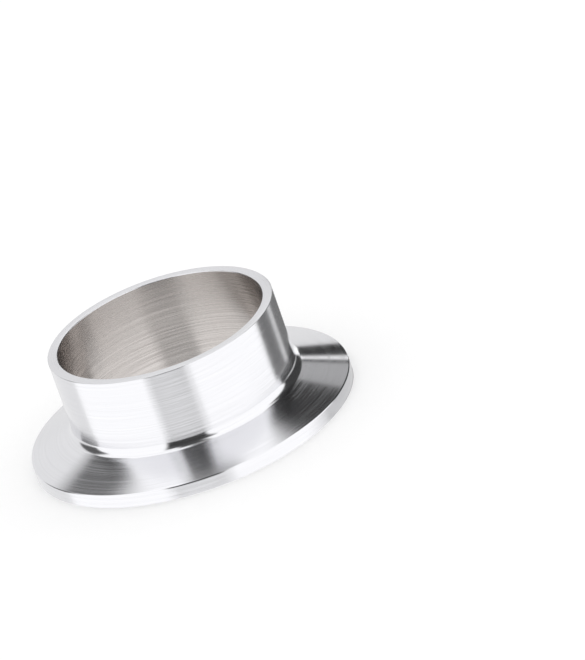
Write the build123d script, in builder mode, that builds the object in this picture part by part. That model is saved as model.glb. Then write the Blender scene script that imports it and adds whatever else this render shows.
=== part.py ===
"""Weld-end clamp ferrule for hygienic pipework, turned in one piece.

A short thin-walled tube flares through a concave neck into a flange. The flange's flat
face carries the gasket groove, and its back is bevelled for the wedge of a clamp.
The tube's axis is Z, the flange face lies on the XY plane, and the weld end is up.
Lengths are in millimetres and angles in degrees.
"""

import os
from math import radians, sqrt, tan

from build123d import *

# Driving dimensions
flange_diameter = 64.0
tube_diameter = 45.0
wall_thickness = 2.0
overall_length = 21.5
rim_thickness = 2.7
bevel_angle = 20.0
neck_fillet = 1.8

groove_inset = 3.75  # from the rim to the middle of the groove
groove_section_radius = 2.3
groove_depth = 1.4

rim_back_round = 0.2
rim_face_round = 0.15
groove_lip_round = 0.2
bore_mouth_round = 0.4
weld_end_inner_break = 0.15
weld_end_outer_break = 0.1

# Sizes that follow from them
flange_radius = flange_diameter / 2
tube_radius = tube_diameter / 2
bore_radius = tube_radius - wall_thickness
neck_height = rim_thickness + (flange_radius - tube_radius) * tan(radians(bevel_angle))
groove_radius = flange_radius - groove_inset
groove_half_width = sqrt(groove_depth * (2 * groove_section_radius - groove_depth))


def circle_at(part, radius, height):
    """The circular edge of this radius at this height, ready to round or chamfer."""
    circles = part.edges().filter_by(GeomType.CIRCLE)
    level = circles.filter_by_position(Axis.Z, height - 0.001, height + 0.001)
    return level.filter_by(lambda edge: abs(edge.radius - radius) < 0.001)


with BuildPart() as clamp_ferrule:
    # The half section with sharp corners, turned about the tube's axis
    with BuildSketch(Plane.XZ):
        with BuildLine():
            Polyline(
                (bore_radius, 0),
                (flange_radius, 0),
                (flange_radius, rim_thickness),
                (tube_radius, neck_height),
                (tube_radius, overall_length),
                (bore_radius, overall_length),
                close=True,
            )
        make_face()
    revolve(axis=Axis.Z)

    # The gasket groove, an arc in section, cut into the flange face
    with BuildSketch(Plane.XZ):
        with Locations((groove_radius, groove_depth - groove_section_radius)):
            Circle(groove_section_radius)
    revolve(axis=Axis.Z, mode=Mode.SUBTRACT)

    # The concave neck between the bevel and the tube
    fillet(circle_at(clamp_ferrule, tube_radius, neck_height), neck_fillet)

    # Rounded edges of the flange, from the rim inwards
    fillet(circle_at(clamp_ferrule, flange_radius, rim_thickness), rim_back_round)
    fillet(circle_at(clamp_ferrule, flange_radius, 0), rim_face_round)
    fillet(circle_at(clamp_ferrule, groove_radius + groove_half_width, 0), groove_lip_round)
    fillet(circle_at(clamp_ferrule, groove_radius - groove_half_width, 0), groove_lip_round)
    fillet(circle_at(clamp_ferrule, bore_radius, 0), bore_mouth_round)

    # Broken edges of the weld end
    chamfer(circle_at(clamp_ferrule, bore_radius, overall_length), weld_end_inner_break)
    chamfer(circle_at(clamp_ferrule, tube_radius, overall_length), weld_end_outer_break)

clamp_ferrule.part.label = "clamp_ferrule"

os.makedirs("parts", exist_ok=True)
export_step(clamp_ferrule.part, "parts/clamp_ferrule.step")
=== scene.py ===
import math

import bmesh
import bpy
from mathutils import Matrix, Vector


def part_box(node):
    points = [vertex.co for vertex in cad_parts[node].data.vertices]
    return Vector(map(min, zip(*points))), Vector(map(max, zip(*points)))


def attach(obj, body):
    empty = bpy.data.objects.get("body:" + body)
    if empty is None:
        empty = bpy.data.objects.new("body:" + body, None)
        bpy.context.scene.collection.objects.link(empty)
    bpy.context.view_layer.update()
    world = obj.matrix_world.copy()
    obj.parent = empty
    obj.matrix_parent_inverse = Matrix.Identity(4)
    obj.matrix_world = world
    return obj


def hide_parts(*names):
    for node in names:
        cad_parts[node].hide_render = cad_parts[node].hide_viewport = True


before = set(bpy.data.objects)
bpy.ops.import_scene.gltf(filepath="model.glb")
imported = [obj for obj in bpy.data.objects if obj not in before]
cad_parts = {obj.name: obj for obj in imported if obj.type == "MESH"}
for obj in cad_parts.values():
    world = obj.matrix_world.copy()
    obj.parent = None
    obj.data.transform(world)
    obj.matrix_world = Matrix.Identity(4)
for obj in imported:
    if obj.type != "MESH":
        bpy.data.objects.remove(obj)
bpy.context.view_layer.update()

mm = 0.001


def hexColour(code):
    # sRGB hex to linear RGBA
    channels = [int(code[i:i + 2], 16) / 255 for i in (1, 3, 5)]
    linear = [c / 12.92 if c <= 0.04045 else ((c + 0.055) / 1.055) ** 2.4 for c in channels]
    return (*linear, 1.0)


def addNode(material, kind, settings=None, inputs=None):
    # settings go on the node, inputs are values or the sockets to link from
    tree = material.node_tree
    node = tree.nodes.new(kind)
    for name, value in (settings or {}).items():
        setattr(node, name, value)
    for key, value in (inputs or {}).items():
        if isinstance(value, bpy.types.NodeSocket):
            tree.links.new(value, node.inputs[key])
        else:
            node.inputs[key].default_value = value
    return node


def emptyMaterial(name):
    material = bpy.data.materials.new(name)
    material.use_nodes = True
    material.node_tree.nodes.clear()
    return material


def meshObject(name, bm):
    mesh = bpy.data.meshes.new(name)
    bm.to_mesh(mesh)
    bm.free()
    obj = bpy.data.objects.new(name, mesh)
    bpy.context.scene.collection.objects.link(obj)
    return obj


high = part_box("clamp_ferrule")[1]

ferrule = {
    "flangeRadius": high.x,
    "length": high.z,
    "tubeRadius": 22.5 * mm,
    "boreRadius": 20.5 * mm,
    "rimThickness": 2.7 * mm,
    "bevelAngle": math.radians(20),
    "neckFillet": 1.8 * mm,
    "grooveInset": 3.75 * mm,
    "grooveSectionRadius": 2.3 * mm,
    "grooveDepth": 1.4 * mm,
    "grooveSteps": 20,
    "rimBackRound": 0.3 * mm,  # 0.1 mm over the solid's, so that the edge line shows
    "rimFaceRound": 0.15 * mm,
    "grooveLipRound": 0.2 * mm,
    "boreMouthRound": 0.4 * mm,
    "weldInnerBreak": 0.15 * mm,
    "weldOuterBreak": 0.1 * mm,
    "turnSteps": 480,
    "mergeDistance": 0.001 * mm,
    "boreMargin": 0.02 * mm,  # faces this close to the bore take the bore's finish
    "flatNormalWeight": 100,  # keeps the flat faces' shading flat beside the rounds
}


def runTo(bm, vert, radius, height):
    nextVert = bmesh.ops.extrude_vert_indiv(bm, verts=[vert])["verts"][0]
    nextVert.co = (radius, 0, height)
    return nextVert


def arcTo(bm, vert, centre, angle, steps):
    turned = bmesh.ops.spin(bm, geom=[vert], cent=centre, axis=(0, 1, 0), angle=angle, steps=steps)
    return [g for g in turned["geom_last"] if isinstance(g, bmesh.types.BMVert)][0]


def roundCorner(bm, vert, radius, turn, segments):
    # a corner that turns by this angle, rounded to this radius
    tangent = radius * math.tan(turn / 2)
    bmesh.ops.bevel(bm, geom=[vert], offset=tangent, offset_type="OFFSET", segments=segments,
                    profile=0.5, affect="VERTICES", material=-1)


def buildFerrule(f):
    neckHeight = f["rimThickness"] + (f["flangeRadius"] - f["tubeRadius"]) * math.tan(f["bevelAngle"])
    grooveMiddle = f["flangeRadius"] - f["grooveInset"]
    belowFace = f["grooveSectionRadius"] - f["grooveDepth"]
    halfArc = math.acos(belowFace / f["grooveSectionRadius"])
    halfWidth = f["grooveSectionRadius"] * math.sin(halfArc)
    bm = bmesh.new()
    boreMouth = bm.verts.new((f["boreRadius"], 0, 0))
    innerLip = runTo(bm, boreMouth, grooveMiddle - halfWidth, 0)
    outerLip = arcTo(bm, innerLip, (grooveMiddle, 0, -belowFace), 2 * halfArc, f["grooveSteps"])
    rimFace = runTo(bm, outerLip, f["flangeRadius"], 0)
    rimBack = runTo(bm, rimFace, f["flangeRadius"], f["rimThickness"])
    neck = runTo(bm, rimBack, f["tubeRadius"], neckHeight)
    weldOuter = runTo(bm, neck, f["tubeRadius"], f["length"])
    weldInner = runTo(bm, weldOuter, f["boreRadius"], f["length"])
    bm.edges.new((weldInner, boreMouth))
    quarter = math.pi / 2
    bevelTurn = quarter - f["bevelAngle"]
    # each corner with its radius, how far the outline turns there, and its segments
    roundCorner(bm, boreMouth, f["boreMouthRound"], quarter, 5)
    roundCorner(bm, innerLip, f["grooveLipRound"], halfArc, 4)
    roundCorner(bm, outerLip, f["grooveLipRound"], halfArc, 4)
    roundCorner(bm, rimFace, f["rimFaceRound"], quarter, 4)
    roundCorner(bm, rimBack, f["rimBackRound"], bevelTurn, 4)
    roundCorner(bm, neck, f["neckFillet"], bevelTurn, 12)
    roundCorner(bm, weldOuter, f["weldOuterBreak"], quarter, 1)
    roundCorner(bm, weldInner, f["weldInnerBreak"], quarter, 1)
    bmesh.ops.spin(bm, geom=bm.verts[:] + bm.edges[:], cent=(0, 0, 0), axis=(0, 0, 1),
                   angle=2 * math.pi, steps=f["turnSteps"], use_merge=True)
    bmesh.ops.remove_doubles(bm, verts=bm.verts, dist=f["mergeDistance"])
    bmesh.ops.recalc_face_normals(bm, faces=bm.faces)
    for face in bm.faces:
        face.smooth = True
        middle = face.calc_center_median()
        radius = math.hypot(middle.x, middle.y)
        face.material_index = 1 if radius < f["boreRadius"] + f["boreMargin"] else 0
    obj = meshObject("ferruleTurned", bm)
    normals = obj.modifiers.new("faceWeightedNormals", "WEIGHTED_NORMAL")
    normals.weight = f["flatNormalWeight"]
    return obj


turnedPiece = buildFerrule(ferrule)
print("ferrule turned:", len(turnedPiece.data.polygons), "faces")

# Polished stainless mirrors the tent, and its turning smears the mirror images up and down the wall.
steelOutside = {
    "colour": "#e6e6e9",
    "lineColour": "#e2e2e5",
    "roughness": 0.15,
    "roughnessSpread": 0.28,
    "anisotropy": 0.9,
    "lineSpacing": 0.18,  # mm, coarser than the real tool marks so that they show
    "lineLength": 20,
    "lineDepth": 0.0004,
    "nickSpacing": 7,
    "nickRadius": 0.16,
    "nickDepth": 0.02,
}
# The bore is left satin: duller, a little warmer and streaked round by the boring tool. Its colours are
# darker than the outside's as painted shade for the inside of the bore, where light gets in only at the
# open end.
steelBoreWithPaintedShade = {
    "colour": "#cdc8c5",
    "lineColour": "#c0bbb8",
    "roughness": 0.26,
    "roughnessSpread": 0.3,
    "anisotropy": 0.95,
    "lineSpacing": 0.16,  # mm, drawn coarser as well
    "lineLength": 22,
    "lineDepth": 0.0012,
    "nickSpacing": 12,
    "nickRadius": 0.10,
    "nickDepth": 0.01,
}


# what both finishes share
turning = {
    "skew": 0.7,  # share of Y in the slow coordinate that ends a line after its length
    "noiseDetail": 3.0,
    "noiseRoughness": 0.6,
    "toneFrom": 0.35,
    "toneTo": 0.65,
    "nickChance": 0.5,
}


def turnedSteel(name, look):
    # lines run round the axis: they change quickly with radius and height, slowly along the cut
    steel = emptyMaterial(name)
    place = addNode(steel, "ShaderNodeTexCoord")
    axes = addNode(steel, "ShaderNodeSeparateXYZ", inputs={0: place.outputs["Object"]})
    squareX = addNode(steel, "ShaderNodeMath", {"operation": "MULTIPLY"},
                      {0: axes.outputs["X"], 1: axes.outputs["X"]})
    squareXY = addNode(steel, "ShaderNodeMath", {"operation": "MULTIPLY_ADD"},
                       {0: axes.outputs["Y"], 1: axes.outputs["Y"], 2: squareX.outputs[0]})
    radius = addNode(steel, "ShaderNodeMath", {"operation": "SQRT"}, {0: squareXY.outputs[0]})
    along = addNode(steel, "ShaderNodeMath", {"operation": "MULTIPLY_ADD"},
                    {0: axes.outputs["Y"], 1: turning["skew"], 2: axes.outputs["X"]})
    stretched = addNode(steel, "ShaderNodeMath", {"operation": "MULTIPLY"},
                        {0: along.outputs[0], 1: look["lineSpacing"] / look["lineLength"]})
    section = addNode(steel, "ShaderNodeCombineXYZ",
                      inputs={"X": radius.outputs[0], "Y": stretched.outputs[0], "Z": axes.outputs["Z"]})
    lines = addNode(steel, "ShaderNodeTexNoise", {"noise_dimensions": "3D"},
                    {"Vector": section.outputs[0], "Scale": 1 / (look["lineSpacing"] * mm),
                     "Detail": turning["noiseDetail"], "Roughness": turning["noiseRoughness"]})
    # small handling nicks, in a few cells of a coarse grid
    cells = addNode(steel, "ShaderNodeTexVoronoi", {"feature": "F1"},
                    {"Vector": place.outputs["Object"], "Scale": 1 / (look["nickSpacing"] * mm)})
    nick = addNode(steel, "ShaderNodeMapRange",
                   inputs={"Value": cells.outputs["Distance"], "From Min": 0.0,
                           "From Max": look["nickRadius"] / look["nickSpacing"],
                           "To Min": 1.0, "To Max": 0.0})
    chance = addNode(steel, "ShaderNodeSeparateXYZ", inputs={0: cells.outputs["Color"]})
    chosen = addNode(steel, "ShaderNodeMath", {"operation": "GREATER_THAN"},
                     {0: chance.outputs["X"], 1: turning["nickChance"]})
    nicks = addNode(steel, "ShaderNodeMath", {"operation": "MULTIPLY"},
                    {0: nick.outputs[0], 1: chosen.outputs[0]})
    ridges = addNode(steel, "ShaderNodeMath", {"operation": "MULTIPLY"},
                     {0: lines.outputs["Fac"], 1: look["lineDepth"]})
    height = addNode(steel, "ShaderNodeMath", {"operation": "MULTIPLY_ADD"},
                     {0: nicks.outputs[0], 1: -look["nickDepth"], 2: ridges.outputs[0]})
    bump = addNode(steel, "ShaderNodeBump", inputs={"Height": height.outputs[0], "Strength": 1.0,
                                                    "Distance": mm})
    tone = addNode(steel, "ShaderNodeMapRange",
                   inputs={"Value": lines.outputs["Fac"], "From Min": turning["toneFrom"],
                           "From Max": turning["toneTo"]})
    colour = addNode(steel, "ShaderNodeMix", {"data_type": "RGBA"},
                     {"Factor": tone.outputs[0], 6: hexColour(look["lineColour"]),
                      7: hexColour(look["colour"])})
    roughness = addNode(steel, "ShaderNodeMapRange",
                        inputs={"Value": lines.outputs["Fac"], "From Min": turning["toneFrom"],
                                "From Max": turning["toneTo"],
                                "To Min": look["roughness"] * (1 + look["roughnessSpread"]),
                                "To Max": look["roughness"] * (1 - look["roughnessSpread"])})
    # a quarter turn of the tangent smears the mirror images across the lines
    around = addNode(steel, "ShaderNodeTangent", {"direction_type": "RADIAL", "axis": "Z"})
    shader = addNode(steel, "ShaderNodeBsdfPrincipled",
                     inputs={"Base Color": colour.outputs[2], "Metallic": 1.0,
                             "Roughness": roughness.outputs[0], "Anisotropic": look["anisotropy"],
                             "Anisotropic Rotation": 0.25, "Normal": bump.outputs[0],
                             "Tangent": around.outputs[0]})
    addNode(steel, "ShaderNodeOutputMaterial", inputs={"Surface": shader.outputs[0]})
    return steel


turnedPiece.data.materials.append(turnedSteel("polishedTurnedStainless", steelOutside))
# the bore's material, whose darker colour is painted shade
turnedPiece.data.materials.append(turnedSteel("satinBoredStainlessPaintedShade", steelBoreWithPaintedShade))
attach(turnedPiece, "root")
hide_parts("clamp_ferrule")
print("steel finishes made")

studio = {
    "floorSize": 6.0,
    "floorColour": "#f2f2f2",
    "floorGlow": 0.15,
    "roomLevel": 1.0,
    "tentLevel": 1.26,
}
# A strip of grey card laid close beside the right of the rim, seen only in the rim's mirror image.
rimCard = {
    "innerRadius": 32.2 * mm,
    "outerRadius": 38 * mm,
    "from": math.radians(-52),
    "turn": math.radians(58),
    "fadeFrom": -27 * mm,
    "fadeTo": -17 * mm,
    "steps": 12,
    "below": 0.1 * mm,
    "level": 0.72,
}

# Grey, black and bright panels of the tent that the metal mirrors, in degrees as seen from the ferrule.
# Azimuth runs from straight behind it towards the right, and a later panel covers an earlier one.
panels = [
    {"name": "leftSheet", "azimuth": -34, "elevation": 1, "width": 60, "height": 69, "tilt": 0,
     "edge": 5, "level": 0.93},
    {"name": "backSheet", "azimuth": 0, "elevation": 0, "width": 30, "height": 56, "tilt": 0,
     "edge": 6, "level": 0.88},
    {"name": "leftFlagLow", "azimuth": -62, "elevation": 13, "width": 27, "height": 38, "tilt": 12,
     "edge": 6, "level": 0.12},
    {"name": "leftFlagHigh", "azimuth": -34, "elevation": 45.5, "width": 22, "height": 20, "tilt": 0,
     "edge": 9, "level": 0.11},
    {"name": "overheadGap", "azimuth": 0, "elevation": 90, "width": 10, "height": 56, "tilt": 0,
     "edge": 4, "level": 0.38},
    {"name": "cameraLow", "azimuth": -174, "elevation": -40, "width": 38, "height": 50, "tilt": 0,
     "edge": 6, "level": 1.0},
    {"name": "cameraSide", "azimuth": -169, "elevation": 20, "width": 38, "height": 76, "tilt": 0,
     "edge": 5, "level": 0.05},
    {"name": "cameraHigh", "azimuth": -166, "elevation": 62, "width": 17, "height": 30, "tilt": 0,
     "edge": 5, "level": 0.08},
    {"name": "rightFlag", "azimuth": 50, "elevation": 18, "width": 50, "height": 60, "tilt": 0,
     "edge": 5, "level": 0.05},
    {"name": "rightFlagHigh", "azimuth": 36, "elevation": 47, "width": 31, "height": 19.5, "tilt": 0,
     "edge": 8, "level": 0.02},
    {"name": "rightGlow", "azimuth": 20, "elevation": 27, "width": 12, "height": 15, "tilt": 0,
     "edge": 3, "level": 0.46},
    {"name": "rightEdge", "azimuth": 14.5, "elevation": 15, "width": 22, "height": 7.6, "tilt": -48,
     "edge": 1, "level": 0.02},
    {"name": "rightLine", "azimuth": 17, "elevation": 20.3, "width": 16, "height": 0.9, "tilt": -35,
     "edge": 0.4, "level": 1.4},
    {"name": "rightLineShade", "azimuth": 18, "elevation": 21.9, "width": 16, "height": 1.9, "tilt": -33,
     "edge": 0.6, "level": 0.05},
    {"name": "rightLow", "azimuth": 42, "elevation": -26, "width": 66, "height": 18, "tilt": 0,
     "edge": 5, "level": 0.20},
    {"name": "rightLowGlow", "azimuth": 48, "elevation": -24, "width": 8, "height": 18, "tilt": 20,
     "edge": 5, "level": 0.75},
]


def buildFloor():
    bm = bmesh.new()
    bmesh.ops.create_grid(bm, x_segments=1, y_segments=1, size=studio["floorSize"] / 2)
    floor = meshObject("floor", bm)
    paper = emptyMaterial("whitePaper")
    diffuse = addNode(paper, "ShaderNodeBsdfDiffuse", inputs={"Color": hexColour(studio["floorColour"])})
    ray = addNode(paper, "ShaderNodeLightPath")
    glow = addNode(paper, "ShaderNodeEmission",
                   inputs={"Color": (1, 1, 1, 1), "Strength": studio["floorGlow"]})
    seen = addNode(paper, "ShaderNodeMath", {"operation": "MAXIMUM"},
                   {0: ray.outputs["Is Camera Ray"], 1: ray.outputs["Is Glossy Ray"]})
    nothing = addNode(paper, "ShaderNodeEmission", inputs={"Strength": 0.0})
    extra = addNode(paper, "ShaderNodeMixShader",
                    inputs={0: seen.outputs[0], 1: nothing.outputs[0], 2: glow.outputs[0]})
    both = addNode(paper, "ShaderNodeAddShader", inputs={0: diffuse.outputs[0], 1: extra.outputs[0]})
    addNode(paper, "ShaderNodeOutputMaterial", inputs={"Surface": both.outputs[0]})
    floor.data.materials.append(paper)
    floor.visible_glossy = False  # the metal mirrors the tent, below it as well


def buildRimCard(c):
    bm = bmesh.new()
    start = Matrix.Rotation(c["from"], 3, "Z")
    inner = bm.verts.new(start @ Vector((c["innerRadius"], 0, -c["below"])))
    outer = bm.verts.new(start @ Vector((c["outerRadius"], 0, -c["below"])))
    edge = bm.edges.new((inner, outer))
    bmesh.ops.spin(bm, geom=[inner, outer, edge], cent=(0, 0, 0), axis=(0, 0, 1), angle=c["turn"],
                   steps=c["steps"])
    card = meshObject("rimCard", bm)
    grey = emptyMaterial("greyCard")
    glow = addNode(grey, "ShaderNodeEmission", inputs={"Color": (1, 1, 1, 1), "Strength": c["level"]})
    place = addNode(grey, "ShaderNodeTexCoord")
    axes = addNode(grey, "ShaderNodeSeparateXYZ", inputs={0: place.outputs["Object"]})
    fade = addNode(grey, "ShaderNodeMapRange", {"interpolation_type": "SMOOTHSTEP"},
                   {"Value": axes.outputs["Y"], "From Min": c["fadeFrom"], "From Max": c["fadeTo"]})
    clear = addNode(grey, "ShaderNodeBsdfTransparent")
    faded = addNode(grey, "ShaderNodeMixShader",
                    inputs={0: fade.outputs[0], 1: clear.outputs[0], 2: glow.outputs[0]})
    addNode(grey, "ShaderNodeOutputMaterial", inputs={"Surface": faded.outputs[0]})
    card.data.materials.append(grey)
    card.visible_camera = False
    card.visible_diffuse = False
    card.visible_shadow = False


def panelMask(world, direction, panel):
    # 1 inside the panel, falling softly to 0 over its edge
    azimuth = math.radians(panel["azimuth"])
    elevation = math.radians(panel["elevation"])
    toPanel = Vector((math.sin(azimuth) * math.cos(elevation), math.cos(azimuth) * math.cos(elevation),
                      math.sin(elevation)))
    side = Vector((math.cos(azimuth), -math.sin(azimuth), 0))
    tilt = Matrix.Rotation(math.radians(-panel["tilt"]), 3, toPanel)
    across = tilt @ side
    upwards = tilt @ side.cross(toPanel)
    parts = []
    for axis, size in ((across, panel["width"]), (upwards, panel["height"])):
        along = addNode(world, "ShaderNodeVectorMath", {"operation": "DOT_PRODUCT"},
                        {0: direction, 1: tuple(axis)})
        away = addNode(world, "ShaderNodeMath", {"operation": "ABSOLUTE"}, {0: along.outputs["Value"]})
        inner = math.sin(math.radians(max(size / 2 - panel["edge"] / 2, 0)))
        outer = math.sin(math.radians(size / 2 + panel["edge"] / 2))
        parts.append(addNode(world, "ShaderNodeMapRange", {"interpolation_type": "SMOOTHSTEP"},
                             {"Value": away.outputs[0], "From Min": inner, "From Max": outer,
                              "To Min": 1.0, "To Max": 0.0}).outputs[0])
    ahead = addNode(world, "ShaderNodeVectorMath", {"operation": "DOT_PRODUCT"},
                    {0: direction, 1: tuple(toPanel)})
    parts.append(addNode(world, "ShaderNodeMath", {"operation": "GREATER_THAN"},
                         {0: ahead.outputs["Value"], 1: 0.0}).outputs[0])
    mask = parts[0]
    for part in parts[1:]:
        mask = addNode(world, "ShaderNodeMath", {"operation": "MULTIPLY"}, {0: mask, 1: part}).outputs[0]
    return mask


def buildWorld():
    world = bpy.data.worlds.new("whiteTent")
    world.use_nodes = True
    world.node_tree.nodes.clear()
    direction = addNode(world, "ShaderNodeTexCoord").outputs["Generated"]
    level = studio["tentLevel"]
    for panel in panels:
        mask = panelMask(world, direction, panel)
        level = addNode(world, "ShaderNodeMix", {"data_type": "FLOAT"},
                        {"Factor": mask, 2: level, 3: panel["level"]}).outputs[0]
    room = addNode(world, "ShaderNodeBackground",
                   inputs={"Color": (1, 1, 1, 1), "Strength": studio["roomLevel"]})
    tent = addNode(world, "ShaderNodeBackground", inputs={"Color": (1, 1, 1, 1), "Strength": level})
    ray = addNode(world, "ShaderNodeLightPath")
    chosen = addNode(world, "ShaderNodeMixShader",
                     inputs={0: ray.outputs["Is Glossy Ray"], 1: room.outputs[0], 2: tent.outputs[0]})
    addNode(world, "ShaderNodeOutputWorld", inputs={"Surface": chosen.outputs[0]})
    bpy.context.scene.world = world


buildFloor()
buildRimCard(rimCard)
buildWorld()
print("studio set up:", len(panels), "panels")

camera = {
    "elevation": 23.7,
    "roll": 19.2,
    "distance": 1.2457,
    "aside": -0.01883,  # how far the flange face's middle lies to the right of the optical axis
    "below": 0.0175,  # and how far under it
    "lens": 354.5,
    "sensorWidth": 36,
    "nearest": 0.01,
    "farthest": 20,
}


def buildCamera(c):
    elevation = math.radians(c["elevation"])
    roll = math.radians(c["roll"])
    forward = Vector((0, math.cos(elevation), -math.sin(elevation)))
    level = Vector((1, 0, 0))
    upright = level.cross(forward)
    right = math.cos(roll) * level - math.sin(roll) * upright
    up = math.sin(roll) * level + math.cos(roll) * upright
    place = -(c["aside"] * right - c["below"] * up + c["distance"] * forward)
    data = bpy.data.cameras.new("camera")
    data.sensor_width = c["sensorWidth"]
    data.lens = c["lens"]
    data.clip_start = c["nearest"]
    data.clip_end = c["farthest"]
    obj = bpy.data.objects.new("camera", data)
    obj.matrix_world = Matrix.Translation(place) @ Matrix((right, up, -forward)).transposed().to_4x4()
    bpy.context.scene.collection.objects.link(obj)
    bpy.context.scene.camera = obj


buildCamera(camera)
bpy.context.scene.view_settings.view_transform = "Standard"
print("camera set")
